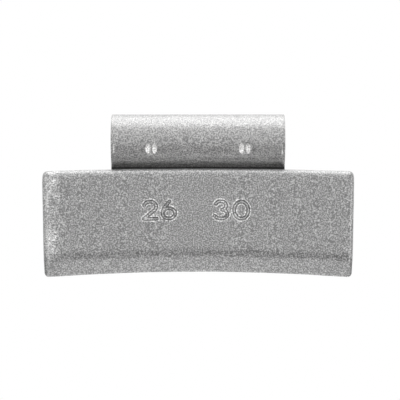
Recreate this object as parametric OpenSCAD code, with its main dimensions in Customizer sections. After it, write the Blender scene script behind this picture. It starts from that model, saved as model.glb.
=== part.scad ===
// Clip-on wheel balance weight of 30 g, all steel: a bar bent to the curve of the rim, and a spring clip.
// The clip's leg is riveted into the back of the bar, and its arch hooks over the flange of the rim.
// The front faces -Y, the length runs along X, and the arch's hollow cylinder has the X axis as its own.

/* [Bar] */
// Length of the bar at its top edge
bar_l = 50; // [42:1:60]
// Height of the bar in the middle
bar_h = 16.6; // [14:0.1:20]
// Thickness of the bar
bar_t = 4.2; // [3.8:0.1:5.5]
// Radius of the top edge, seen from the front
top_edge_r = 670; // [400:10:900]
// Radius of the bottom edge, seen from the front
bottom_edge_r = 352; // [260:2:900]
// Radius of the hollow of the front face, seen from above
bow_r = 250; // [200:5:600]
// Angle at which each end leans inwards on its way down
end_lean = 1.1; // [0:0.1:5]

/* [Edges of the bar] */
// Radius of the top edge at the front
top_front_r = 1.1; // [0.3:0.1:1.4]
// Radius of the other long edges
long_edge_r = 0.4; // [0.2:0.1:0.5]
// Radius of the four corners, seen from the front
corner_r = 0.8; // [0.3:0.1:1.5]
// Width of the worn round on the left end, along the bar
worn_round_l = 3.4; // [1:0.1:4]
// Depth of the worn round on the left end, into the bar
worn_round_d = 1.5; // [0.5:0.1:1.8]
// Radius of the front edge of the right end
right_round_r = 0.95; // [0.3:0.05:1.4]
// Radius of the back edge of both ends
back_round_r = 0.4; // [0.2:0.1:0.6]

/* [Bevel of the bar] */
// Height of the bevel along the bottom of the front
bevel_h = 3.1; // [2:0.1:4]
// Angle of the bevel to the front face
bevel_angle = 30; // [15:1:34]
// Radius of the crease between the front face and the bevel
crease_r = 2.5; // [0.5:0.1:4]
// Size of the chamfer along the bottom of the back
back_chamfer = 0.7; // [0.3:0.1:0.9]

/* [Clip] */
// Width of the strip
clip_w = 28; // [20:1:32]
// Thickness of the strip
strip_t = 1; // [0.8:0.1:1.2]
// Radius of the hollow of the arch
arch_r = 3.5; // [3:0.1:4]
// Length of the flat over the edge of the flange
top_flat = 2.2; // [1.5:0.1:4]
// Inner radius of the bend behind the flange
heel_r = 2.6; // [2:0.1:3]
// Angle at which the spring arm closes in on the flange
grip_angle = 6; // [0:1:12]
// Length of the spring arm
arm_l = 2.2; // [1:0.1:4]
// Inner radius of the turned-out tip
tip_r = 1; // [0.5:0.1:2]
// Angle by which the tip turns out
tip_angle = 38; // [15:1:60]
// Straight length at the end of the tip
tip_l = 0.5; // [0.2:0.1:1.5]
// Radius of the two corners of the tip
tip_corner_r = 1.6; // [0.5:0.1:3]

/* [Leg of the clip] */
// Inner radius of the neck between the arch and the leg
neck_r = 0.7; // [0.5:0.05:0.9]
// Length of the leg inside the bar
leg_l = 9; // [7:0.5:11]
// How deep the back of the leg lies below the back of the bar
leg_sink = 0.7; // [0.4:0.05:0.8]
// Radius of the two lower corners of the leg
leg_corner_r = 1.2; // [0.4:0.1:2]
// Clearance round the edges of the leg and in its holes
fit_gap = 0.05; // [0.02:0.01:0.1]
// Clearance between the faces of the leg and what they lie on
seat_gap = 0.02; // [0.01:0.01:0.05]

/* [Studs of the bar] */
// Diameter of a stud
stud_d = 3; // [2:0.1:4]
// Distance between the two studs
stud_pitch = 14; // [10:1:18]
// Depth of the studs below the top edge
stud_drop = 5; // [4:0.1:5.5]
// Diameter of a peened head
head_d = 4.6; // [4.3:0.1:5.5]
// Height of a peened head
head_h = 0.5; // [0.2:0.05:0.6]

/* [Marks of the clip] */
// Distance between the two chisel marks
mark_pitch = 15; // [8:1:18]
// Angle of the marks below the foremost line of the arch
mark_angle = 15.5; // [0:0.5:25]
// Depth of a mark
mark_d = 0.45; // [0.2:0.05:0.5]
// Radius of the punch's edge
punch_r = 1.6; // [1:0.1:2]
// Angle between the punch's flank and its axis of strike
punch_angle = 65; // [45:1:70]

/* [Hidden] */
$fn = 96;

// Margin by which a cutter reaches past what it cuts
over = 1;
// Steps of each round in the bar's section, of each round on its ends, and of its plain stretch
edge_steps = 5;
end_steps = 7;
bow_steps = 16;

// Radii of the middle and the outside of the strip
arch_mid_r = arch_r + strip_t / 2;
arch_out_r = arch_r + strip_t;
neck_mid_r = neck_r + strip_t / 2;
heel_mid_r = heel_r + strip_t / 2;

// The neck touches the arch at this angle from straight down, and ends level with the top of the bar. Sine and
// cosine have four digits each, so that what is turned by it meets exactly what isn't.
neck_sin = 0.5376;
neck_cos = 0.8432;
neck_angle = asin(neck_sin);
leg_mid_y = neck_mid_r - (arch_mid_r + neck_mid_r) * neck_sin;
top_z = -(arch_mid_r + neck_mid_r) * neck_cos;

// Back and front of the leg, and of the bar in the middle of its length
leg_back_y = leg_mid_y + strip_t / 2;
leg_front_y = leg_mid_y - strip_t / 2;
back_y = leg_back_y + leg_sink;
front_y = back_y - bar_t;
bottom_z = top_z - bar_h;

// Middle of the bend behind the flange, in [y, z]
heel = [top_flat, arch_mid_r - heel_mid_r];

// Seat of the studs and the colours of the coat
stud_z = top_z - stud_drop;
coat = [0.60, 0.60, 0.59];
coat_dark = [0.55, 0.55, 0.54];

function unit(v) = v / norm(v);
function angle_of(v) = atan2(v.y, v.x);
function turn(from, to) = (to - from + 540) % 360 - 180;

// Points of a round of radius r at corner b, coming from a and going to c
function rounded(a, b, c, r) =
    let (
        to_a = unit(a - b),
        to_c = unit(c - b),
        half = acos(to_a * to_c) / 2,
        middle = b + unit(to_a + to_c) * r / sin(half),
        first = angle_of(b + to_a * r / tan(half) - middle),
        last = angle_of(b + to_c * r / tan(half) - middle)
    )
    [for (i = [0 : edge_steps])
        let (at = first + turn(first, last) * i / edge_steps)
        middle + r * [cos(at), sin(at)]];

// How far a round of length l and depth d has drawn a face in, at a distance of x from the end
function drawn_in(x, l, d) = x >= l ? 0 : d * (1 - sqrt(1 - pow(1 - x / l, 2)));

// Section of the bar in [y, z], with the faces drawn in as they are near an end
function bar_section(front_in, rim_in, back_in) =
    let (
        face_y = front_y + front_in,
        rear_y = back_y - back_in,
        high_z = top_z - rim_in,
        low_z = bottom_z + rim_in,
        bevel_y = front_y + bevel_h * tan(bevel_angle),
        foot_y = bevel_y + front_in * (back_y - bevel_y) / bar_t,
        corners = [
            [[face_y, high_z], top_front_r],
            [[face_y, bottom_z + bevel_h], crease_r],
            [[foot_y, low_z], long_edge_r / 2],
            [[rear_y - back_chamfer, low_z], long_edge_r / 2],
            [[rear_y, low_z + back_chamfer], long_edge_r / 2],
            [[rear_y, high_z], long_edge_r]
        ],
        n = len(corners)
    )
    [for (i = [0 : n - 1])
        each rounded(
            corners[(i + n - 1) % n][0], corners[i][0], corners[(i + 1) % n][0], corners[i][1])];

// Half the length of the bar at height z
function half_l(z) = bar_l / 2 - (top_z - z) * tan(end_lean);

// Curve of the bar's long lines at height z, which grows from the top edge to the bottom edge
function edge_curve(z) =
    let (share = (top_z - z) / bar_h)
    (1 - share) / top_edge_r + share / bottom_edge_r;

// A point of the bar at [y, z] of its section and at x along it, after the bends
function bent(x, y, z) = [x, y - x * x / (2 * bow_r), z - x * x * edge_curve(z) / 2];

// One ring of the bar, at a distance of gap from the end on that side: -1 is left, and 1 is right
function end_ring(side, gap, round_l, round_d) =
    [for (p = bar_section(
            drawn_in(gap, round_l, round_d),
            drawn_in(gap, corner_r, corner_r),
            drawn_in(gap, back_round_r, back_round_r)))
        bent(side * (half_l(p.y) - gap), p.x, p.y)];

// One ring of the plain stretch, at a share of the way from the left round to the right one
function plain_ring(share) =
    [for (p = bar_section(0, 0, 0))
        let (left = worn_round_l - half_l(p.y), right = half_l(p.y) - right_round_r)
        bent(left + (right - left) * share, p.x, p.y)];

// Rings from the left end to the right one, closer together where the bar rounds
function bar_rings() = concat(
    [for (i = [0 : end_steps])
        end_ring(-1, worn_round_l * (1 - cos(90 * i / end_steps)), worn_round_l, worn_round_d)],
    [for (i = [1 : bow_steps - 1]) plain_ring(i / bow_steps)],
    [for (i = [end_steps : -1 : 0])
        end_ring(1, right_round_r * (1 - cos(90 * i / end_steps)), right_round_r, right_round_r)]);

// Skin over rings that all have the same number of points
module loft(rings) {
    n = len(rings[0]);
    last = len(rings) - 1;
    polyhedron(
        points = [for (ring = rings) each ring],
        faces = concat(
            [[for (i = [0 : n - 1]) i]],
            [for (k = [0 : last - 1], i = [0 : n - 1])
                [k * n + i, (k + 1) * n + i, (k + 1) * n + (i + 1) % n, k * n + (i + 1) % n]],
            [[for (i = [n - 1 : -1 : 0]) last * n + i]]),
        convexity = 4);
}

// Sector of the plane between two angles, out to the radius r
module sector(r, from, to) {
    steps = ceil((to - from) / 45);
    reach = r / cos(45 / 2);
    polygon(concat([[0, 0]],
        [for (i = [0 : steps])
            let (at = from + (to - from) * i / steps)
            reach * [cos(at), sin(at)]]));
}

// A bend of the strip about the origin, with inner radius r
module bend(r, from, to) {
    intersection() {
        difference() {
            circle(r + strip_t);
            circle(r);
        }
        sector(r + strip_t + over, from, to);
    }
}

// Side view of the whole strip in [y, z]. Each straight meets its bend along an edge that lies on an axis of
// the frame they share, and where a frame turns, two sectors of one bend overlap.
module strip_outline() {
    bend(arch_r, 90, 200);
    rotate(-neck_angle) {
        bend(arch_r, 180, 270);
        translate([0, -(arch_mid_r + neck_mid_r)]) {
            bend(neck_r, 45, 90);
            rotate(neck_angle) {
                bend(neck_r, 0, 45);
                translate([neck_r, -leg_l]) square([strip_t, leg_l]);
            }
        }
    }
    translate([0, arch_r]) square([top_flat, strip_t]);
    translate(heel) {
        bend(heel_r, 0, 90);
        rotate(-grip_angle) {
            bend(heel_r, 0, 45);
            translate([heel_r, -arm_l]) square([strip_t, arm_l]);
            translate([heel_r + strip_t + tip_r, -arm_l]) {
                bend(tip_r, 180, 180 + tip_angle * 0.6);
                rotate(tip_angle) {
                    bend(tip_r, 180 - tip_angle * 0.6, 180);
                    translate([-tip_r - strip_t, -tip_l]) square([strip_t, tip_l]);
                }
            }
        }
    }
}

// Extrudes a side view in [y, z] along X, centred
module across(w) {
    rotate([90, 0, 90]) linear_extrude(w, center = true) children();
}

// What a round of radius r takes off both lower corners of the strip, where its end lies at z = 0
module corner_waste(r) {
    for (side = [-1, 1]) translate([side * (clip_w / 2 - r), 0, r]) rotate([90, 0, 0])
        linear_extrude(3 * strip_t, center = true) difference() {
            translate([side > 0 ? 0 : -r - over, -r - over]) square([r + over, r + over]);
            circle(r);
        }
}

// Moves what lies at the origin to the end of the tip, upright along the strip
module at_tip() {
    translate([0, heel.x, heel.y]) rotate([-grip_angle, 0, 0])
        translate([0, heel_r + strip_t + tip_r, -arm_l]) rotate([tip_angle, 0, 0])
            translate([0, -tip_r - strip_t / 2, -tip_l]) children();
}

// Punch that strikes a mark: two cones base to base, so that the mark is a notch with pointed ends
module punch() {
    reach = punch_r * tan(punch_angle);
    rotate([0, 90, 0]) rotate_extrude()
        polygon([[0, -reach], [punch_r, 0], [0, reach]]);
}

// Both places where the clip is riveted
module at_studs() {
    for (side = [-1, 1]) translate([side * stud_pitch / 2, 0, stud_z]) rotate([-90, 0, 0]) children();
}

// The bar's studs, from the floor of the recess to the top of the peened heads
module studs() {
    at_studs() {
        translate([0, 0, leg_front_y - over]) cylinder(d = stud_d, h = strip_t + over + head_h / 2);
        translate([0, 0, leg_back_y + seat_gap]) cylinder(d1 = head_d, d2 = head_d - 2 * head_h, h = head_h);
    }
}

// Recess for the leg, open to the back and to the top
module leg_recess() {
    w = clip_w + 2 * fit_gap;
    h = leg_l + fit_gap;
    translate([-w / 2, leg_front_y - seat_gap, top_z - h]) cube([w, bar_t, h + over]);
}

module weight_body() {
    color(coat) union() {
        difference() {
            loft(bar_rings());
            leg_recess();
        }
        studs();
    }
}

module rim_clip() {
    color(coat_dark) difference() {
        across(clip_w) strip_outline();
        for (side = [-1, 1]) translate([side * mark_pitch / 2, 0, 0]) rotate([mark_angle, 0, 0])
            translate([0, mark_d - punch_r - arch_out_r, 0]) punch();
        at_tip() corner_waste(tip_corner_r);
        translate([0, leg_mid_y, top_z]) translate([0, 0, -leg_l]) corner_waste(leg_corner_r);
        at_studs() translate([0, 0, leg_front_y - over])
            cylinder(d = stud_d + 2 * fit_gap, h = strip_t + 2 * over);
    }
}

weight_body();
rim_clip();
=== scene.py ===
"""Looks of a clip-on wheel balance weight: a coated steel bar with stamped figures, and its spring clip."""

import logging
import math
from dataclasses import dataclass
from enum import Enum
from typing import Callable, Sequence

import bmesh
import bpy
from mathutils import Matrix, Vector, noise


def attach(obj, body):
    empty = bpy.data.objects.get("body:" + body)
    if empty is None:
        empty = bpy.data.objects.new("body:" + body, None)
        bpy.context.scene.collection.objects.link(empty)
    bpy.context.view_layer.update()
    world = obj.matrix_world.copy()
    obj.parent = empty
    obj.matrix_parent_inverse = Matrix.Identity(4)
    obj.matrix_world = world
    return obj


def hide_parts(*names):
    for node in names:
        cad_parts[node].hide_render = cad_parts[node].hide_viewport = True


LOG = logging.getLogger("balance_weight")
MM = 0.001
MERGE_MM = 1e-5
ROUNDING = 1e-9
SHARP_DEGREES = 38.0
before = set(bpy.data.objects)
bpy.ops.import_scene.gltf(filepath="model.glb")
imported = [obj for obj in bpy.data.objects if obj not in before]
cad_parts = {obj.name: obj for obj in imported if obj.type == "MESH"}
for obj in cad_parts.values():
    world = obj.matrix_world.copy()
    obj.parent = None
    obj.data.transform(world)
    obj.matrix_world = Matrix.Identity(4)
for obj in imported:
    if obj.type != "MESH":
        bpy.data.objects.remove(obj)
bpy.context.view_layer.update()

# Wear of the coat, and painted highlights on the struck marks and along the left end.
WEAR_AND_HIGHLIGHT = "wear_and_highlight"
# Painted shade under the arch, in the clip's neck and on the stamps' walls; below 0, painted light on the
# arch's underside.
PAINTED_LIGHT_AND_SHADE = "painted_light_and_shade"
UNEVEN_SEED = 5

Point = tuple[float, float]
Spot = tuple[Vector, float, float]


def drawn_in(gap: float, length: float, depth: float) -> float:
    """How far a quarter-round edge has drawn a face in.

    Args:
        gap: Distance from the edge.
        length: Length of the round along the face.
        depth: Depth of the round into the face.

    Returns:
        The draw, from depth at the edge to 0 where the round ends.
    """
    if gap >= length:
        return 0.0
    return depth * (1 - math.sqrt(max(0.0, 1 - (1 - gap / length) ** 2)))


def smooth_step(low: float, high: float, value: float) -> float:
    """Rises smoothly from 0 at low to 1 at high."""
    share = min(1.0, max(0.0, (value - low) / (high - low)))
    return share * share * (3 - 2 * share)


def fade(place: float, reach: Point, value: float) -> float:
    """Rises smoothly from 0 to 1 over a reach that is counted from a place."""
    return smooth_step(place + reach[0], place + reach[1], value)


def bell(value: float, middle: float, width: float) -> float:
    """Bell curve that is 1 in its middle."""
    return math.exp(-((value - middle) / width) ** 2)


def spread(start: float, end: float, step: float) -> list[float]:
    """Even places from start to end, both included, no further apart than step."""
    count = max(1, math.ceil(abs(end - start) / step - ROUNDING))
    return [start + (end - start) * i / count for i in range(count + 1)]


def joined(*stretches: Sequence[float]) -> list[float]:
    """Stretches of places end to end, with the shared end of each pair kept once."""
    places = list(stretches[0])
    for stretch in stretches[1:]:
        places.extend(stretch[1:])
    return places


def round_gaps(radius: float, turn: float) -> list[float]:
    """Distances from an edge to the points of its round, which are a turn apart in degrees."""
    return [radius * (1 - math.cos(math.radians(at))) for at in spread(0, 90, turn)]


def round_corner(before: Vector, corner: Vector, after: Vector, radius: float,
                 steps: int) -> list[Vector]:
    """Points of the arc that rounds a corner.

    Args:
        before: The corner that the outline comes from.
        corner: The corner to round.
        after: The corner that the outline goes to.
        radius: Radius of the arc.
        steps: How many chords the arc has.

    Returns:
        The arc's points, from the side of before to the side of after.
    """
    to_before = (before - corner).normalized()
    to_after = (after - corner).normalized()
    half = to_before.angle(to_after) / 2
    middle = corner + (to_before + to_after).normalized() * (radius / math.sin(half))
    first = corner + to_before * (radius / math.tan(half)) - middle
    last = corner + to_after * (radius / math.tan(half)) - middle
    sweep = first.angle_signed(last)
    return [middle + Matrix.Rotation(-sweep * i / steps, 2) @ first for i in range(steps + 1)]


def skin(rows: int, columns: int, place: Callable[[int, int], Spot]) -> bmesh.types.BMesh:
    """Closed skin over rings that all have the same number of points.

    Args:
        rows: How many points a ring has.
        columns: How many rings there are.
        place: Gives a point's place, wear and painted highlight, and painted shade and light from its
            number in its ring and the ring's number.

    Returns:
        The skin, with its seam merged and both ends filled.
    """
    mesh = bmesh.new()
    worn_and_highlit = mesh.verts.layers.float.new(WEAR_AND_HIGHLIGHT)
    shade_and_light = mesh.verts.layers.float.new(PAINTED_LIGHT_AND_SHADE)
    bmesh.ops.create_grid(mesh, x_segments=columns - 1, y_segments=rows, size=1.0)
    for vert in mesh.verts:
        column = round((vert.co.x + 1) / 2 * (columns - 1))
        row = round((vert.co.y + 1) / 2 * rows)
        vert.co, vert[worn_and_highlit], vert[shade_and_light] = place(row % rows, column)
    bmesh.ops.remove_doubles(mesh, verts=mesh.verts, dist=MERGE_MM)
    rims = [edge for edge in mesh.edges if edge.is_boundary]
    bmesh.ops.holes_fill(mesh, edges=rims, sides=0)
    bmesh.ops.recalc_face_normals(mesh, faces=mesh.faces)
    return mesh


def made(mesh: bmesh.types.BMesh, name: str) -> bpy.types.Object:
    """Turns a bmesh in millimetres into an object in metres, at the origin.

    Args:
        mesh: The bmesh, which is freed.
        name: Name of the object.

    Returns:
        The new object, linked to the scene.
    """
    bmesh.ops.scale(mesh, vec=(MM, MM, MM), verts=mesh.verts)
    data = bpy.data.meshes.new(name)
    mesh.to_mesh(data)
    mesh.free()
    piece = bpy.data.objects.new(name, data)
    bpy.context.scene.collection.objects.link(piece)
    return piece


def cut_away(piece: bpy.types.Object, cutter: bpy.types.Object) -> None:
    """Cuts one object out of another, and deletes the cutter."""
    modifier = piece.modifiers.new("cut", "BOOLEAN")
    modifier.operation = "DIFFERENCE"
    modifier.solver = "EXACT"
    modifier.object = cutter
    seen = piece.evaluated_get(bpy.context.evaluated_depsgraph_get())
    piece.data = bpy.data.meshes.new_from_object(seen)
    piece.modifiers.clear()
    bpy.data.objects.remove(cutter)


def smooth_but_sharp(piece: bpy.types.Object) -> None:
    """Shades a piece smooth, apart from its sharp edges."""
    mesh = bmesh.new()
    mesh.from_mesh(piece.data)
    for face in mesh.faces:
        face.smooth = True
    for edge in mesh.edges:
        edge.smooth = edge.calc_face_angle(0.0) < math.radians(SHARP_DEGREES)
    mesh.to_mesh(piece.data)
    mesh.free()


class Value:
    """A socket whose arithmetic adds Math nodes."""

    def __init__(self, tree: bpy.types.NodeTree, socket: bpy.types.NodeSocket) -> None:
        """Wraps a socket of a node tree."""
        self.tree = tree
        self.socket = socket

    def _math(self, operation: str, first: "Value | float", second: "Value | float") -> "Value":
        """Adds one Math node.

        Args:
            operation: The node's operation.
            first: Its first value.
            second: Its second value.

        Returns:
            Its result.
        """
        node = self.tree.nodes.new("ShaderNodeMath")
        node.operation = operation
        for place, given in enumerate((first, second)):
            if isinstance(given, Value):
                self.tree.links.new(given.socket, node.inputs[place])
            else:
                node.inputs[place].default_value = given
        return Value(self.tree, node.outputs[0])

    def __add__(self, other: "Value | float") -> "Value":
        """Sum."""
        return self._math("ADD", self, other)

    def __radd__(self, other: float) -> "Value":
        """Sum, with the number first."""
        return self._math("ADD", other, self)

    def __sub__(self, other: "Value | float") -> "Value":
        """Difference."""
        return self._math("SUBTRACT", self, other)

    def __rsub__(self, other: float) -> "Value":
        """Difference, with the number first."""
        return self._math("SUBTRACT", other, self)

    def __mul__(self, other: "Value | float") -> "Value":
        """Product."""
        return self._math("MULTIPLY", self, other)

    def __rmul__(self, other: float) -> "Value":
        """Product, with the number first."""
        return self._math("MULTIPLY", other, self)


class Shader:
    """A material under construction."""

    def __init__(self, name: str) -> None:
        """Starts an empty material of that name."""
        self.material = bpy.data.materials.new(name)
        self.material.use_nodes = True
        self.tree = self.material.node_tree
        self.tree.nodes.clear()
        self.output = self.tree.nodes.new("ShaderNodeOutputMaterial")

    def node(self, kind: str, inputs: dict | None = None, **settings: object) -> bpy.types.Node:
        """Adds a node.

        Args:
            kind: The node's type.
            inputs: Values, Value wrappers or sockets for its inputs, by name or number.
            settings: Its own properties, and stops for a colour ramp's places and levels.

        Returns:
            The node.
        """
        node = self.tree.nodes.new(kind)
        stops = settings.pop("stops", None)
        for setting, given in settings.items():
            setattr(node, setting, given)
        if stops:
            ramp = node.color_ramp.elements
            while len(ramp) < len(stops):
                ramp.new(0.5)
            for element, (place, level) in zip(ramp, stops):
                element.position = place
                element.color = (level, level, level, 1)
        for key, given in (inputs or {}).items():
            socket = node.inputs[key]
            if isinstance(given, Value):
                self.tree.links.new(given.socket, socket)
            elif isinstance(given, bpy.types.NodeSocket):
                self.tree.links.new(given, socket)
            else:
                socket.default_value = given
        return node

    def value(self, node: bpy.types.Node, output: str | int = 0) -> Value:
        """Wraps one output of a node."""
        return Value(self.tree, node.outputs[output])

    def noise(self, scale: float, detail: float, rough: float = 0.5) -> Value:
        """Fractal noise on Object coordinates, centred on 0.5.

        Args:
            scale: Cells per metre.
            detail: Octaves.
            rough: Strength of each octave against the one before.

        Returns:
            The noise.
        """
        place = self.node("ShaderNodeTexCoord").outputs["Object"]
        field = self.node("ShaderNodeTexNoise",
                          {"Vector": place, "Scale": scale, "Detail": detail, "Roughness": rough})
        return self.value(field, "Fac")

    def finish(self, surface: bpy.types.NodeSocket) -> bpy.types.Material:
        """Ends the material with its surface."""
        self.tree.links.new(surface, self.output.inputs["Surface"])
        return self.material


@dataclass(frozen=True)
class PowderCoat:
    """Silver-grey metallic powder coat.

    Flakes and a fine grain lie under a rippled film, with a smooth metallic sheen over them. The coat is
    bright where it is worn and where a highlight is painted on, dark where shade is painted on, and
    lighter where light is painted on. Scales are cells per metre.
    """

    name: str
    tone: float = 0.15
    warmth: float = 0.004
    flake_scale: float = 8000.0
    flake_depth: float = 1.3
    flake_gloss: float = 0.1
    flake_tilt: float = 0.06
    grain_scale: float = 5000.0
    grain_depth: float = 7.5
    cloud_scale: float = 420.0
    cloud_depth: float = 0.10
    metal: float = 0.1
    rough: float = 0.5
    ripple_mm: float = 0.01
    ripple_scale: float = 1300.0
    bare_and_highlight_tone: float = 0.72
    worn_rough: float = 0.34
    worn_grain: float = 0.3
    # How strongly painted shade darkens the coat, and painted light lightens it.
    shade_and_light_strength: float = 0.96
    pit_mm: float = 0.12
    pit_scale: float = 750.0
    pit_low: float = 0.35
    pit_high: float = 0.6
    solid_calm: float = 0.8
    film_rough: float = 0.4
    sheen_share: float = 0.28
    sheen_tone: float = 0.57
    sheen_rough: float = 0.4

    def material(self) -> bpy.types.Material:
        """Builds the material.

        Returns:
            The material, on Object coordinates, on the mesh's wear and painted highlight, and on its
            painted shade and light.
        """
        shader = Shader(self.name)
        place = shader.node("ShaderNodeTexCoord").outputs["Object"]
        cells = shader.node("ShaderNodeTexVoronoi", {"Vector": place, "Scale": self.flake_scale})
        cell_colour = shader.node("ShaderNodeSeparateColor", {"Color": cells.outputs["Color"]})
        flake = shader.value(cell_colour, "Red")
        clouds = shader.noise(self.cloud_scale, detail=3.0)
        wear_and_highlight = shader.value(shader.node("ShaderNodeAttribute", attribute_name=WEAR_AND_HIGHLIGHT), "Fac")
        patches = shader.noise(self.pit_scale, detail=1.0)
        spots = shader.value(shader.node("ShaderNodeMapRange", {
            "Value": patches, "From Min": self.pit_low, "From Max": self.pit_high}))
        solid = shader.value(shader.node("ShaderNodeClamp", {"Value": wear_and_highlight - 1}), "Result")
        bare_and_highlit = shader.value(shader.node("ShaderNodeClamp", {"Value": wear_and_highlight * spots + solid}), "Result")
        shade_and_light = shader.value(shader.node("ShaderNodeAttribute", attribute_name=PAINTED_LIGHT_AND_SHADE), "Fac")
        # Darkens the coat by the painted shade, and lightens it by the painted light.
        shade_and_light_factor = 1 - shade_and_light * self.shade_and_light_strength

        grain = shader.noise(self.grain_scale, detail=0.0)
        mean_square = 1 / 3
        level = (1 + (flake * flake - mean_square) * self.flake_depth + (grain - 0.5) * self.grain_depth
                 + (clouds - 0.5) * (2 * self.cloud_depth))
        # Lightens worn coat, and paints on highlights where the wear attribute carries them.
        worn_and_highlit = bare_and_highlit * (self.bare_and_highlight_tone - self.tone) * (1 - self.worn_grain + level * self.worn_grain)
        grey = (level * self.tone + worn_and_highlit) * shade_and_light_factor
        colour = shader.node("ShaderNodeCombineColor", {
            "Red": grey * (1 + self.warmth), "Green": grey, "Blue": grey * (1 - self.warmth)})

        ripple = shader.noise(self.ripple_scale, detail=3.0, rough=0.55)
        height = ripple * self.ripple_mm + patches * (bare_and_highlit - solid * self.solid_calm) * self.pit_mm
        bump = shader.node("ShaderNodeBump", {"Strength": 1.0, "Distance": MM, "Height": height})
        centred = shader.node("ShaderNodeVectorMath", {
            0: cells.outputs["Color"], 1: (0.5, 0.5, 0.5)}, operation="SUBTRACT")
        leaning = shader.node("ShaderNodeVectorMath", {
            0: centred.outputs[0], "Scale": self.flake_tilt}, operation="SCALE")
        tilted = shader.node("ShaderNodeVectorMath", {
            0: bump.outputs["Normal"], 1: leaning.outputs[0]}, operation="ADD")
        normal = shader.node("ShaderNodeVectorMath", {0: tilted.outputs[0]}, operation="NORMALIZE")

        flaked = shader.node("ShaderNodeBsdfPrincipled", {
            "Base Color": colour.outputs["Color"],
            "Metallic": self.metal,
            "Roughness": (self.rough - (flake - 0.5) * self.flake_gloss
                          + bare_and_highlit * (self.worn_rough - self.rough)),
            "Normal": normal.outputs[0],
            "Coat Weight": shade_and_light_factor,
            "Coat Roughness": self.film_rough})
        sheen = shader.node("ShaderNodeBsdfPrincipled", {
            "Base Color": (self.sheen_tone, self.sheen_tone, self.sheen_tone, 1),
            "Metallic": 1.0,
            "Roughness": self.sheen_rough})
        surface = shader.node("ShaderNodeMixShader", {
            0: shade_and_light_factor * self.sheen_share, 1: flaked.outputs[0], 2: sheen.outputs[0]})
        return shader.finish(surface.outputs[0])


class Figure(Enum):
    """Plain figures as strokes. A stroke is points in a cell that is 1 wide and 1 high."""

    TWO = "2"
    THREE = "3"
    SIX = "6"
    ZERO = "0"

    def strokes(self) -> list[list[Point]]:
        """Centre lines of the figure's strokes."""
        turn = 12

        def arc(x: float, y: float, wide: float, high: float, start: float, end: float) -> list[Point]:
            """Points of an elliptic arc, with angles in degrees."""
            return [(x + wide * math.cos(math.radians(at)), y + high * math.sin(math.radians(at)))
                    for at in spread(start, end, turn)]

        if self is Figure.ZERO:
            return [arc(0.5, 0.5, 0.5, 0.5, 0, 360)]
        if self is Figure.THREE:
            return [arc(0.46, 0.745, 0.44, 0.255, 155, -75) + arc(0.46, 0.26, 0.54, 0.26, 75, -155)]
        if self is Figure.SIX:
            back = [(0.0, 0.3), (0.02, 0.45), (0.1, 0.62), (0.55, 1.0)]
            return [arc(0.5, 0.3, 0.5, 0.3, 0, 360), back]
        return [arc(0.48, 0.7, 0.47, 0.3, 165, -30) + [(0.0, 0.0), (1.0, 0.0)]]


@dataclass(frozen=True)
class Stamp:
    """A figure stamped into the bar's face, in millimetres. Its inset is in half strokes."""

    figure: Figure
    left: float
    width: float
    bottom: float = -12.72
    height: float = 3.42
    half_stroke: float = 0.27
    inset: float = 1.25
    depth: float = 0.31
    lip: float = 0.04

    def segments(self) -> list[tuple[Vector, Vector]]:
        """The straight pieces of the centre lines, in x and z.

        Returns:
            Start and end of each piece.
        """
        inset = self.inset * self.half_stroke
        pieces = []
        for stroke in self.figure.strokes():
            places = [Vector((self.left + inset + x * (self.width - 2 * inset),
                              self.bottom + inset + y * (self.height - 2 * inset))) for x, y in stroke]
            pieces.extend(zip(places, places[1:]))
        return pieces


@dataclass(frozen=True)
class Die:
    """All the stamps of one weight. Shares are distances from a stroke's centre line, in half strokes."""

    stamps: tuple[Stamp, ...]
    floor_share: float = 0.4
    well_share: float = 1.25
    lip_share: float = 1.45
    lip_width: float = 0.3
    wall_share: float = 0.9
    wall_width: float = 0.22
    bright_share: float = 0.6
    lip_wear: float = 2.0
    floor_wear: float = 1.3
    # Painted shade on the walls of the stamped strokes.
    wall_shade: float = 0.6

    def draw(self, x: float, z: float,
             segments: list[tuple[Vector, Vector]]) -> tuple[float, float, float]:
        """How deep the face is pressed in at a point.

        Args:
            x: Place along the bar.
            z: Height.
            segments: Straight pieces of all the strokes.

        Returns:
            The depth, below 0 on the lip that the stamp has raised, the wear, and the painted shade on
            the wall.
        """
        at = Vector((x, z))
        nearest = math.inf
        for start, end in segments:
            along = end - start
            share = min(1.0, max(0.0, (at - start).dot(along) / along.length_squared))
            nearest = min(nearest, (start + along * share - at).length)
        stamp = self.stamps[0]
        share = nearest / stamp.half_stroke
        well = 1 - smooth_step(self.floor_share, self.well_share, share)
        lip = bell(share, self.lip_share, self.lip_width)
        wall = bell(share, self.wall_share, self.wall_width)
        wear_and_highlight = self.lip_wear * lip + self.floor_wear * max(0.0, 1 - share / self.bright_share)
        # The wall's painted shade darkens the coat along the strokes' walls.
        return stamp.depth * well - stamp.lip * lip, wear_and_highlight, self.wall_shade * wall


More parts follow.
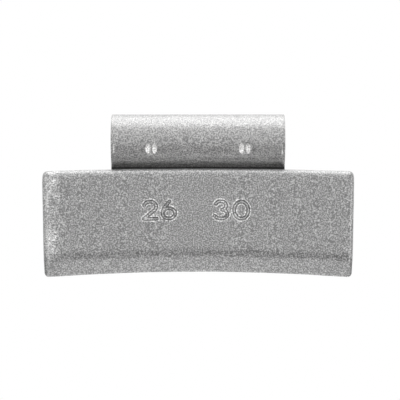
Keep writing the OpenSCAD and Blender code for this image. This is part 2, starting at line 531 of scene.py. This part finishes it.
@dataclass(frozen=True)
class WeightBar:
    """The steel bar, in millimetres, with the figures on its face.

    The fields that end in fade give where wear, painted highlight and painted shade begin and end, counted
    from an edge or face.
    """

    length: float = 50.0
    height: float = 16.6
    thick: float = 4.2
    top_z: float = -4.38464
    front_y: float = -4.59552
    top_edge_r: float = 670.0
    bottom_edge_r: float = 352.0
    bow_r: float = 250.0
    end_lean: float = 1.1
    top_front_r: float = 1.1
    long_edge_r: float = 0.4
    foot_edge_r: float = 0.2
    corner_r: float = 0.8
    worn_round_l: float = 3.4
    worn_round_d: float = 1.5
    # Worn coat on the front of the left end's round, with a painted highlight.
    end_wear_and_highlight: float = 0.5
    behind_face_fade: Point = (1.2, 1.8)
    over_crease_fade: Point = (-0.4, 0.8)
    # Painted highlight bands up the left end.
    highlight_band_rise: float = 1.6
    highlight_band_pitch: float = 9.0
    highlight_band_mean: float = 0.75
    highlight_band_swing: float = 0.5
    right_round_r: float = 0.95
    back_round_r: float = 0.4
    bevel_h: float = 3.1
    bevel_angle: float = 30.0
    crease_r: float = 3.4
    back_chamfer: float = 0.7
    sheltered: float = 28.0
    shelter_side_fade: Point = (-0.3, 0.5)
    shelter_top_fade: Point = (-0.35, -0.1)
    shelter_front_fade: Point = (1.6, 2.6)
    unevenness: float = 0.022
    wide_scale: float = 0.28
    close_scale: float = 0.9
    close_share: float = 0.35
    stamp_margin: float = 0.6
    fine: float = 0.06
    coarse: float = 0.45
    worn_turn: float = 7.0
    right_turn: float = 10.0

    @property
    def back_y(self) -> float:
        """Back of the bar in the middle of its length."""
        return self.front_y + self.thick

    @property
    def bottom_z(self) -> float:
        """Bottom of the bar in the middle of its length."""
        return self.top_z - self.height

    def section(self, front_in: float, rim_in: float, back_in: float,
                rows: Sequence[float]) -> list[Vector]:
        """Section of the bar in y and z.

        Args:
            front_in: How far the front is drawn in.
            rim_in: How far the top and the bottom are drawn in.
            back_in: How far the back is drawn in.
            rows: Shares of the front face's height at which it has a point.

        Returns:
            Points round the section, from the top of the front.
        """
        face = self.front_y + front_in
        rear = self.back_y - back_in
        high = self.top_z - rim_in
        low = self.bottom_z + rim_in
        bevel = self.front_y + self.bevel_h * math.tan(math.radians(self.bevel_angle))
        foot = bevel + front_in * (self.back_y - bevel) / self.thick
        # Each corner has its radius, the chords of its arc, and the points of the straight that follows it.
        corners = [
            (Vector((face, high)), self.top_front_r, 8, list(rows)),
            (Vector((face, self.bottom_z + self.bevel_h)), self.crease_r, 10, spread(0, 1, 0.1)),
            (Vector((foot, low)), self.foot_edge_r, 4, spread(0, 1, 0.25)),
            (Vector((rear - self.back_chamfer, low)), self.foot_edge_r, 4, spread(0, 1, 0.5)),
            (Vector((rear, low + self.back_chamfer)), self.foot_edge_r, 4, spread(0, 1, 0.05)),
            (Vector((rear, high)), self.long_edge_r, 5, spread(0, 1, 0.2)),
        ]
        arcs = []
        for place, (corner, radius, steps, _) in enumerate(corners):
            before = corners[place - 1][0]
            after = corners[(place + 1) % len(corners)][0]
            arcs.append(round_corner(before, corner, after, radius, steps))
        points = []
        for place, (_, _, _, shares) in enumerate(corners):
            points.extend(arcs[place][:-1])
            start = arcs[place][-1]
            end = arcs[(place + 1) % len(corners)][0]
            points.extend(start.lerp(end, share) for share in shares[:-1])
        return points

    def half_length(self, z: float) -> float:
        """Half the length of the bar at a height."""
        return self.length / 2 - (self.top_z - z) * math.tan(math.radians(self.end_lean))

    def bent(self, x: float, y: float, z: float) -> Vector:
        """Moves a point of the straight bar to its place on the bent one."""
        share = (self.top_z - z) / self.height
        curve = (1 - share) / self.top_edge_r + share / self.bottom_edge_r
        return Vector((x, y - x * x / (2 * self.bow_r), z - x * x * curve / 2))

    def mesh(self, die: Die) -> bmesh.types.BMesh:
        """Builds the bar's skin with the figures stamped in.

        Args:
            die: The stamps.

        Returns:
            The skin, in millimetres.
        """
        face_high = self.top_z - self.top_front_r
        crease_reach = self.crease_r * math.tan(math.radians(self.bevel_angle / 2))
        face_low = self.bottom_z + self.bevel_h + crease_reach
        zone_high = max(stamp.bottom + stamp.height for stamp in die.stamps) + self.stamp_margin
        zone_low = min(stamp.bottom for stamp in die.stamps) - self.stamp_margin
        zone_left = min(stamp.left for stamp in die.stamps) - self.stamp_margin
        zone_right = max(stamp.left + stamp.width for stamp in die.stamps) + self.stamp_margin
        heights = joined(spread(face_high, zone_high, self.coarse), spread(zone_high, zone_low, self.fine),
                         spread(zone_low, face_low, self.coarse))
        rows = [(face_high - z) / (face_high - face_low) for z in heights]

        left_gaps = round_gaps(self.worn_round_l, self.worn_turn)
        right_gaps = round_gaps(self.right_round_r, self.right_turn)
        left = self.worn_round_l - self.length / 2
        right = self.length / 2 - self.right_round_r
        middles = joined(spread(left, zone_left, self.coarse), spread(zone_left, zone_right, self.fine),
                         spread(zone_right, right, self.coarse))[1:-1]
        shares = [(x - left) / (right - left) for x in middles]

        rings: list[list[Spot]] = []
        for gap in left_gaps:
            rings.append(self.end_ring(-1, gap, self.worn_round_l, self.worn_round_d, rows))
        plain = self.section(0, 0, 0, rows)
        segments = [segment for stamp in die.stamps for segment in stamp.segments()]
        for share in shares:
            ring = []
            for point in plain:
                y, z = point
                first = self.worn_round_l - self.half_length(z)
                x = first + (self.half_length(z) - self.right_round_r - first) * share
                on_face = y < self.front_y + MERGE_MM
                depth, worn_and_highlit, dull = 0.0, 0.0, 0.0
                if on_face and zone_left <= x <= zone_right and zone_low <= z <= zone_high:
                    depth, worn_and_highlit, dull = die.draw(x, z, segments)
                # Painted shade on the stamps' walls and on the top under the arch.
                ring.append((self.bent(x, y + depth, z), worn_and_highlit, max(dull, self.shade_under_arch(x, y, z))))
            rings.append(ring)
        for gap in reversed(right_gaps):
            rings.append(self.end_ring(1, gap, self.right_round_r, self.right_round_r, rows))
        return skin(len(plain), len(rings), lambda row, column: self.uneven(*rings[column][row]))

    def end_ring(self, side: int, gap: float, length: float, depth: float,
                 rows: Sequence[float]) -> list[Spot]:
        """One ring in the round of an end.

        Args:
            side: -1 for the left end, 1 for the right one.
            gap: Distance from the end.
            length: Length of the round on the front.
            depth: Depth of the round on the front.
            rows: Shares of the front face's height at which it has a point.

        Returns:
            The ring's points.
        """
        section = self.section(drawn_in(gap, length, depth), drawn_in(gap, self.corner_r, self.corner_r),
                               drawn_in(gap, self.back_round_r, self.back_round_r), rows)
        worn_and_highlit = 0.0
        if length == self.worn_round_l:
            # Worn coat and a painted highlight on the left end's round.
            worn_and_highlit = self.end_wear_and_highlight * math.sin(math.pi * min(1.0, gap / length))
        spots = []
        crease = self.bottom_z + self.bevel_h
        for y, z in section:
            in_front = 1 - fade(self.front_y, self.behind_face_fade, y)
            above = fade(crease, self.over_crease_fade, z)
            # Painted highlight bands up the end, brightest just above the crease.
            swing = math.cos(math.tau * (z - crease - self.highlight_band_rise) / self.highlight_band_pitch)
            highlight_bands = self.highlight_band_mean + self.highlight_band_swing * swing
            spots.append((self.bent(side * (self.half_length(z) - gap), y, z),
                          worn_and_highlit * in_front * above * highlight_bands, 0.0))
        return spots

    def shade_under_arch(self, x: float, y: float, z: float) -> float:
        """Painted shade on the top under the arch, where the arch keeps the light off."""
        under = 1 - fade(self.sheltered / 2, self.shelter_side_fade, abs(x))
        on_top = fade(self.top_z, self.shelter_top_fade, z)
        return under * on_top * fade(self.front_y, self.shelter_front_fade, y)

    def uneven(self, place: Vector, worn_and_highlit: float, shade_and_light: float) -> Spot:
        """Moves a point by the slight unevenness of forged and coated steel."""
        wide = noise.noise_vector(place * self.wide_scale)
        close = noise.noise_vector(place * self.close_scale)
        return place + (wide + close * self.close_share) * self.unevenness, worn_and_highlit, shade_and_light


@dataclass(frozen=True)
class Riveting:
    """Recess for the clip's leg, and the studs that hold it, in millimetres."""

    leg_width: float = 28.0
    leg_length: float = 9.0
    leg_back_y: float = -1.09552
    strip: float = 1.0
    fit_gap: float = 0.05
    seat_gap: float = 0.02
    stud_d: float = 3.0
    pitch: float = 14.0
    drop: float = 5.0
    stud_sink: float = 0.3
    head_d: float = 4.6
    head_h: float = 0.5
    head_edge_in: float = 0.12
    head_edge_up: float = 0.1
    head_side_in: float = 0.06
    head_side_up: float = 0.03
    rim_share: float = 0.35
    crown_share: float = 0.95
    crown_start: float = 22.0
    crown_turn: float = 12.0
    swell: float = 0.05
    swell_scale: float = 0.8
    stud_steps: int = 56
    hole_steps: int = 48

    def recess(self, top_z: float) -> bmesh.types.BMesh:
        """Block that cuts the recess, open to the back and the top.

        Args:
            top_z: Top of the bar.

        Returns:
            The block.
        """
        over = 2.0
        low = Vector((-self.leg_width / 2 - self.fit_gap,
                      self.leg_back_y - self.strip - self.seat_gap,
                      top_z - self.leg_length - self.fit_gap))
        high = Vector((self.leg_width / 2 + self.fit_gap, self.leg_back_y + over, top_z + over))
        block = bmesh.new()
        bmesh.ops.create_cube(block, size=1.0)
        bmesh.ops.scale(block, vec=high - low, verts=block.verts)
        bmesh.ops.translate(block, vec=(high + low) / 2, verts=block.verts)
        return block

    def centres(self, top_z: float) -> list[Vector]:
        """Where the studs stand, on the back of the leg."""
        return [Vector((side * self.pitch / 2, self.leg_back_y, top_z - self.drop)) for side in (-1, 1)]

    def studs(self, top_z: float) -> bmesh.types.BMesh:
        """Both studs with their peened heads.

        Args:
            top_z: Top of the bar.

        Returns:
            The studs, as two closed shells.
        """
        head = self.head_d / 2
        rim = self.head_h * self.rim_share
        root = -self.strip - self.stud_sink
        profile = [(0.0, root),
                   (self.stud_d / 2, root),
                   (self.stud_d / 2, self.seat_gap),
                   (head - self.head_edge_in, self.seat_gap),
                   (head, self.seat_gap + self.head_edge_up),
                   (head - self.head_side_in, rim + self.head_side_up)]
        profile += [(head * math.cos(math.radians(at)) * self.crown_share,
                     rim + (self.head_h - rim) * math.sin(math.radians(at)))
                    for at in spread(self.crown_start, 90, self.crown_turn)]
        mesh = bmesh.new()
        mesh.verts.layers.float.new(WEAR_AND_HIGHLIGHT)
        mesh.verts.layers.float.new(PAINTED_LIGHT_AND_SHADE)
        for centre in self.centres(top_z):
            verts = [mesh.verts.new((radius, rise, 0)) for radius, rise in profile]
            edges = [mesh.edges.new(pair) for pair in zip(verts, verts[1:])]
            bmesh.ops.spin(mesh, geom=verts + edges, cent=(0, 0, 0), axis=(0, 1, 0),
                           angle=math.tau, steps=self.stud_steps, use_merge=True)
            bmesh.ops.remove_doubles(mesh, verts=mesh.verts, dist=MERGE_MM)
            # A tag marks the points of a stud that has already been moved to its place.
            for vert in [vert for vert in mesh.verts if not vert.tag]:
                swell = self.swell * noise.noise(vert.co * self.swell_scale + centre)
                vert.co += Vector((vert.co.x * swell, 0, vert.co.z * swell)) + centre
                vert.tag = True
        bmesh.ops.recalc_face_normals(mesh, faces=mesh.faces)
        return mesh

    def holes(self, top_z: float) -> bmesh.types.BMesh:
        """Both cylinders that cut the holes of the leg.

        Args:
            top_z: Top of the bar.

        Returns:
            The cylinders.
        """
        mesh = bmesh.new()
        radius = self.stud_d / 2 + self.fit_gap
        for centre in self.centres(top_z):
            place = Matrix.Translation(centre) @ Matrix.Rotation(math.radians(90), 4, "X")
            bmesh.ops.create_cone(mesh, cap_ends=True, segments=self.hole_steps, radius1=radius,
                                  radius2=radius, depth=4 * self.strip, matrix=place)
        return mesh


@dataclass(frozen=True)
class Station:
    """A place along the strip's middle line, in y and z."""

    place: Vector
    normal: Vector
    travel: float
    arch_angle: float | None = None


@dataclass(frozen=True)
class RimClip:
    """The bent spring strip, in millimetres, with angles in degrees.

    The fields that end in fade give the heights, or the shares of a flank, between which painted shade,
    painted light, or wear and painted highlight come in. Turns and steps set how fine the mesh is.
    """

    width: float = 28.0
    strip: float = 1.0
    arch_r: float = 3.5
    top_flat: float = 2.2
    heel_r: float = 2.6
    grip_angle: float = 6.0
    arm: float = 2.2
    tip_r: float = 1.0
    tip_angle: float = 38.0
    tip: float = 0.5
    tip_corner_r: float = 1.6
    neck_r: float = 0.7
    leg: float = 9.0
    leg_mid_y: float = -1.59552
    leg_corner_r: float = 1.2
    edge_r: float = 0.16
    mark_pitch: float = 15.0
    mark_angle: float = 15.5
    mark_depth: float = 0.45
    punch_r: float = 1.6
    punch_angle: float = 65.0
    mark_reach: float = 0.95
    mark_soft: float = 0.04
    lip: float = 0.03
    lip_half_w: float = 0.98
    lip_half_h: float = 0.95
    lip_share: float = 1.12
    lip_width: float = 0.2
    flank_at: float = 0.52
    flank_w: float = 0.42
    flank_h: float = 0.88
    flank_fade: Point = (0.75, 1.1)
    flank_wear_and_highlight: float = 2.5
    rub_in: float = 0.48
    rub_w: float = 0.12
    rub_wear: float = 1.5
    # Painted light on the underside of the arch.
    painted_light: float = 0.9
    painted_light_top_fade: Point = (-2.7, -3.15)
    painted_light_foot_fade: Point = (-3.85, -3.6)
    neck_top_fade: Point = (-3.85, -4.2)
    neck_foot_fade: Point = (-5.6, -4.6)
    unevenness: float = 0.014
    uneven_scale: float = 0.35
    side_zone: float = 4.0
    edge_turn: float = 22.5
    side_turn: float = 15.0
    neck_turn: float = 8.0
    arch_turn: float = 3.0
    heel_turn: float = 4.0
    tip_turn: float = 5.0
    mark_turn: float = 0.8
    mark_half_angle: float = 16.0
    corner_step: float = 0.12
    leg_step: float = 0.5
    arm_step: float = 0.3
    column_step: float = 0.6
    mark_step: float = 0.06
    mark_half_w: float = 1.35
    rub_step: float = 0.08
    rub_zone: float = 1.0

    def stations(self) -> list[Station]:
        """Places along the middle line, from the foot of the leg to the tip.

        Returns:
            The stations, close together on the arch where the marks are.
        """
        half = self.strip / 2
        arch = self.arch_r + half
        neck = self.neck_r + half
        heel = self.heel_r + half
        tip = self.tip_r + half
        neck_angle = math.degrees(math.asin((neck - self.leg_mid_y) / (arch + neck)))
        top_z = -(arch + neck) * math.cos(math.radians(neck_angle))
        found: list[Station] = []
        travel = 0.0

        def turned(centre: Vector, radius: float, angles: Sequence[float], outer: int,
                   on_arch: bool = False) -> None:
            """Adds an arc, whose normal points away from its centre where outer is 1, and to it at -1."""
            nonlocal travel
            for number, at in enumerate(angles):
                ray = Vector((math.cos(math.radians(at)), math.sin(math.radians(at))))
                if number:
                    travel += radius * math.radians(abs(at - angles[number - 1]))
                if number or not found:
                    arch_angle = at if on_arch else None
                    found.append(Station(centre + ray * radius, ray * outer, travel, arch_angle))

        def straight(start: Vector, end: Vector, distances: Sequence[float]) -> None:
            """Adds a straight, with its normal on the left of its way."""
            nonlocal travel
            way = (end - start).normalized()
            normal = Vector((-way.y, way.x))
            base = travel
            for number, distance in enumerate(distances):
                travel = base + distance
                if number or not found:
                    found.append(Station(start + way * distance, normal, travel))

        near_end = round_gaps(self.edge_r, self.edge_turn)
        corner = spread(near_end[-1], self.leg_corner_r, self.corner_step)
        straight(Vector((self.leg_mid_y, top_z - self.leg)), Vector((self.leg_mid_y, top_z)),
                 joined(near_end, corner, spread(corner[-1], self.leg, self.leg_step)))
        turned(Vector((self.leg_mid_y - neck, top_z)), neck, spread(0, 90 - neck_angle, self.neck_turn), -1)
        mark_foot = 180 + self.mark_angle + self.mark_half_angle
        mark_top = 180 + self.mark_angle - self.mark_half_angle
        turned(Vector((0, 0)), arch, joined(spread(270 - neck_angle, mark_foot, self.arch_turn),
                                            spread(mark_foot, mark_top, self.mark_turn),
                                            spread(mark_top, 90, self.arch_turn)), 1, on_arch=True)
        straight(Vector((0, arch)), Vector((self.top_flat, arch)), spread(0, self.top_flat, self.leg_step))
        centre = Vector((self.top_flat, arch - heel))
        turned(centre, heel, spread(90, -self.grip_angle, self.heel_turn), 1)
        grip = math.radians(self.grip_angle)
        start = centre + heel * Vector((math.cos(grip), -math.sin(grip)))
        end = start + self.arm * Vector((-math.sin(grip), -math.cos(grip)))
        straight(start, end, spread(0, self.arm, self.arm_step))
        centre = end + tip * Vector((math.cos(grip), -math.sin(grip)))
        turn_end = 180 - self.grip_angle + self.tip_angle
        turned(centre, tip, spread(180 - self.grip_angle, turn_end, self.tip_turn), -1)
        last = centre + tip * Vector((math.cos(math.radians(turn_end)), math.sin(math.radians(turn_end))))
        way = Vector((-math.sin(math.radians(turn_end)), math.cos(math.radians(turn_end))))
        end_gaps = [self.tip - gap for gap in reversed(near_end)]
        straight(last, last + way * self.tip,
                 joined(spread(0, end_gaps[0], self.corner_step), end_gaps))
        return found

    def mark_draw(self, x: float, angle: float) -> Point:
        """How deep a mark goes below the outside of the arch.

        Args:
            x: Place along the clip.
            angle: Angle round the arch, in degrees.

        Returns:
            The depth, below 0 where the strike has raised a lip, and the brightening: struck bare steel
            with a painted highlight on the flanks of each mark, and wear along the stretch of each side
            edge that has been rubbed.
        """
        outside = self.arch_r + self.strip
        across = abs(abs(x) - self.mark_pitch / 2)
        turn = math.radians(angle - 180 - self.mark_angle)
        slope = self.mark_reach * math.tan(math.radians(self.punch_angle))
        reach = self.punch_r - across * across / slope
        centre = outside - self.mark_depth + self.punch_r
        side = centre * math.sin(turn)
        if reach > abs(side):
            cut = outside - (centre * math.cos(turn) - math.sqrt(reach * reach - side * side))
        else:
            cut = -1.0
        most = 60.0
        depth = self.mark_soft * math.log1p(math.exp(min(most, cut / self.mark_soft)))
        far = math.hypot(across / self.lip_half_w, outside * turn / self.lip_half_h)
        flank = math.hypot((across - self.flank_at) / self.flank_w, outside * turn / self.flank_h)
        # Struck bare steel with a painted highlight on both flanks of each mark; worn coat on the rubbed
        # side edges.
        struck = self.flank_wear_and_highlight * (1 - smooth_step(*self.flank_fade, flank))
        level = abs(outside * turn) / self.flank_h
        edge = bell(self.width / 2 - abs(x), self.rub_in, self.rub_w)
        rubbed = self.rub_wear * edge * (1 - smooth_step(*self.flank_fade, level))
        return depth - self.lip * bell(far, self.lip_share, self.lip_width), max(struck, rubbed)

    def mesh(self) -> bmesh.types.BMesh:
        """Builds the strip's skin with its marks.

        Returns:
            The skin, in millimetres.
        """
        stations = self.stations()
        total = stations[-1].travel
        gaps = round_gaps(self.edge_r, self.side_turn)
        half = self.width / 2
        inner = half - gaps[-1]
        rubbed = inner - self.rub_zone
        mark_near = self.mark_pitch / 2 - self.mark_half_w
        mark_far = self.mark_pitch / 2 + self.mark_half_w
        places = joined(spread(-inner, -rubbed, self.rub_step),
                        spread(-rubbed, -mark_far, self.column_step),
                        spread(-mark_far, -mark_near, self.mark_step),
                        spread(-mark_near, mark_near, self.column_step),
                        spread(mark_near, mark_far, self.mark_step),
                        spread(mark_far, rubbed, self.column_step),
                        spread(rubbed, inner, self.rub_step))
        columns = [(gap, -half + gap) for gap in gaps[:-1]]
        columns += [(self.edge_r, x) for x in places]
        columns += [(gap, half - gap) for gap in reversed(gaps[:-1])]
        ring = [(station, 1) for station in stations] + [(station, -1) for station in reversed(stations)]

        def place(row: int, column: int) -> Spot:
            """Place, wear and painted highlight, and painted shade and light of one point of the skin."""
            station, side = ring[row]
            gap, x = columns[column]
            to_tip = total - station.travel
            narrow = max(drawn_in(to_tip, self.tip_corner_r, self.tip_corner_r),
                         drawn_in(station.travel, self.leg_corner_r, self.leg_corner_r))
            pulled = smooth_step(half - self.side_zone, half, abs(x)) * narrow
            to_end = min(to_tip, station.travel)
            half_strip = self.strip / 2 - max(drawn_in(gap, self.edge_r, self.edge_r),
                                              drawn_in(to_end, self.edge_r, self.edge_r))
            worn_and_highlit = 0.0
            if side > 0 and station.arch_angle is not None:
                depth, worn_and_highlit = self.mark_draw(x, station.arch_angle)
                half_strip -= depth
            spot = station.place + station.normal * (side * half_strip)
            at = Vector((x - math.copysign(pulled, x), spot.x, spot.y))
            # Painted shade in the neck under the arch, and painted light on the arch's underside above it.
            in_neck = smooth_step(*self.neck_top_fade, at.z) * smooth_step(*self.neck_foot_fade, at.z)
            painted_light_zone = smooth_step(*self.painted_light_top_fade, at.z) * smooth_step(*self.painted_light_foot_fade, at.z)
            shade_and_light = in_neck - self.painted_light * painted_light_zone if at.y < 0 else 0.0
            return at + noise.noise_vector(at * self.uneven_scale) * self.unevenness, worn_and_highlit, shade_and_light

        return skin(len(ring), len(columns), place)


@dataclass(frozen=True)
class SoftBox:
    """A lamp that faces the weight: place and size in millimetres, and a level with white at 1."""

    name: str
    place: tuple[float, float, float]
    size: Point
    level: float
    aim: tuple[float, float, float] = (0, 0, -8)

    def light(self) -> None:
        """Adds the lamp to the scene."""
        data = bpy.data.lights.new(self.name, "AREA")
        data.shape = "RECTANGLE"
        data.size = self.size[0] * MM
        data.size_y = self.size[1] * MM
        data.energy = self.level * math.pi * data.size * data.size_y
        lamp = bpy.data.objects.new(self.name, data)
        lamp.location = Vector(self.place) * MM
        towards = Vector(self.aim) * MM - lamp.location
        lamp.rotation_euler = towards.to_track_quat("-Z", "Y").to_euler()
        lamp.visible_camera = False
        bpy.context.scene.collection.objects.link(lamp)


@dataclass(frozen=True)
class Studio:
    """Camera, lamps, world and floor."""

    scale_mm_per_pixel: float = 0.16
    frame_pixels: float = 400.0
    axis_pixel: Point = (198.0, 141.05)
    distance_mm: float = 275.0
    face_y_mm: float = -4.6
    sensor_mm: float = 36.0
    nearest_m: float = 0.01
    floor_z_mm: float = -440.0
    card_z_mm: float = -400.0
    sheet_half_mm: float = 1500.0
    paint: float = 0.8
    felt: float = 0.26
    dull: float = 0.9
    lamps: tuple[SoftBox, ...] = (
        SoftBox("overhead", (0, 36, 320), (420, 400), 2.1),
        SoftBox("front", (0, -430, 260), (500, 300), 0.33),
        SoftBox("left", (-300, -240, -150), (110, 330), 2.8),
        SoftBox("right", (300, -240, -150), (110, 330), 3.2),
        SoftBox("rear", (0, 420, 60), (600, 420), 0.25),
        SoftBox("underneath", (0, -20, -200), (300, 160), 1.4),
    )

    def camera(self) -> None:
        """Sets up a level camera, square to the front."""
        middle = self.frame_pixels / 2
        across = (middle - self.axis_pixel[0]) * self.scale_mm_per_pixel
        up = (self.axis_pixel[1] - middle) * self.scale_mm_per_pixel
        data = bpy.data.cameras.new("camera")
        data.sensor_width = self.sensor_mm
        data.lens = data.sensor_width * self.distance_mm / (self.frame_pixels * self.scale_mm_per_pixel)
        data.clip_start = self.nearest_m
        eye = bpy.data.objects.new("camera", data)
        eye.location = Vector((across, self.face_y_mm - self.distance_mm, up)) * MM
        eye.rotation_euler = (math.radians(90), 0, 0)
        bpy.context.scene.collection.objects.link(eye)
        bpy.context.scene.camera = eye

    def level_sheet(self, name: str, rise: float, surface: bpy.types.Material) -> bpy.types.Object:
        """Lays a wide level sheet under the weight.

        Args:
            name: Its name.
            rise: Its height, in millimetres.
            surface: Its material.

        Returns:
            The sheet.
        """
        mesh = bmesh.new()
        bmesh.ops.create_grid(mesh, x_segments=1, y_segments=1, size=self.sheet_half_mm)
        bmesh.ops.translate(mesh, vec=(0, 0, rise), verts=mesh.verts)
        sheet = made(mesh, name)
        sheet.data.materials.append(surface)
        return sheet

    def surroundings(self) -> None:
        """Sets a white world, a floor that looks white, and a dark card that keeps their light off."""
        world = bpy.data.worlds.new("surroundings")
        bpy.context.scene.world = world
        world.use_nodes = True
        white = world.node_tree.nodes["Background"]
        white.inputs["Color"].default_value = (1, 1, 1, 1)
        white.inputs["Strength"].default_value = 1.0

        floor = Shader("floor")
        path = floor.node("ShaderNodeLightPath")
        looked_at = (floor.value(path, "Is Camera Ray") + floor.value(path, "Is Glossy Ray")
                     + floor.value(path, "Is Transmission Ray"))
        paint = floor.node("ShaderNodeBsdfPrincipled", {
            "Base Color": (self.paint, self.paint, self.paint, 1), "Roughness": self.dull})
        glow = floor.node("ShaderNodeEmission", {"Color": (1, 1, 1, 1), "Strength": 1.0})
        mixed = floor.node("ShaderNodeMixShader", {0: looked_at, 1: paint.outputs[0], 2: glow.outputs[0]})
        self.level_sheet("floor", self.floor_z_mm, floor.finish(mixed.outputs[0]))

        card = Shader("dark_card")
        felt = card.node("ShaderNodeBsdfPrincipled", {
            "Base Color": (self.felt, self.felt, self.felt, 1), "Roughness": self.dull})
        sheet = self.level_sheet("dark_card", self.card_z_mm, card.finish(felt.outputs[0]))
        sheet.visible_camera = False


def dressed(piece: bpy.types.Object, coat: PowderCoat, node: str) -> None:
    """Coats a piece and ties it to the solid that it stands for.

    Args:
        piece: The piece.
        coat: Its finish.
        node: The solid that it replaces.
    """
    piece.data.materials.clear()
    piece.data.materials.append(coat.material())
    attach(piece, "root")
    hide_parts(node)
    LOG.info("%s: %d faces", piece.name, len(piece.data.polygons))


def stamped_bar(bar: WeightBar, riveting: Riveting) -> bpy.types.Object:
    """Builds the bar with its figures, its recess and its studs.

    Args:
        bar: Sizes of the bar.
        riveting: Sizes of the recess and the studs.

    Returns:
        The bar.
    """
    die = Die((
        Stamp(Figure.TWO, left=-9.0, width=2.75),
        Stamp(Figure.SIX, left=-6.0, width=2.7),
        Stamp(Figure.THREE, left=2.4, width=2.65),
        Stamp(Figure.ZERO, left=5.45, width=2.95),
    ))
    body = made(bar.mesh(die), "stamped_bar")
    cut_away(body, made(riveting.recess(bar.top_z), "recess"))
    studs = riveting.studs(bar.top_z)
    bmesh.ops.scale(studs, vec=(MM, MM, MM), verts=studs.verts)
    studs.from_mesh(body.data)
    studs.to_mesh(body.data)
    studs.free()
    smooth_but_sharp(body)
    return body


def sprung_strip(clip: RimClip, riveting: Riveting, top_z: float) -> bpy.types.Object:
    """Builds the clip with its marks and the holes of its leg.

    Args:
        clip: Sizes of the clip.
        riveting: Sizes of the holes.
        top_z: Top of the bar.

    Returns:
        The clip.
    """
    strip = made(clip.mesh(), "sprung_strip")
    cut_away(strip, made(riveting.holes(top_z), "holes"))
    smooth_but_sharp(strip)
    return strip


def main() -> None:
    """Builds both pieces and the studio."""
    logging.basicConfig(level=logging.INFO)
    # Without a seed, vector noise differs from run to run.
    noise.seed_set(UNEVEN_SEED)
    bar = WeightBar()
    riveting = Riveting()
    dressed(stamped_bar(bar, riveting), PowderCoat("coated_bar"), "weight_body")
    clip_coat = PowderCoat("coated_clip", tone=0.183, warmth=0.012, grain_depth=4.5)
    dressed(sprung_strip(RimClip(), riveting, bar.top_z), clip_coat, "rim_clip")

    studio = Studio()
    studio.camera()
    studio.surroundings()
    for lamp in studio.lamps:
        lamp.light()
    bpy.context.scene.view_settings.view_transform = "Standard"


if __name__ == "__main__":
    main()
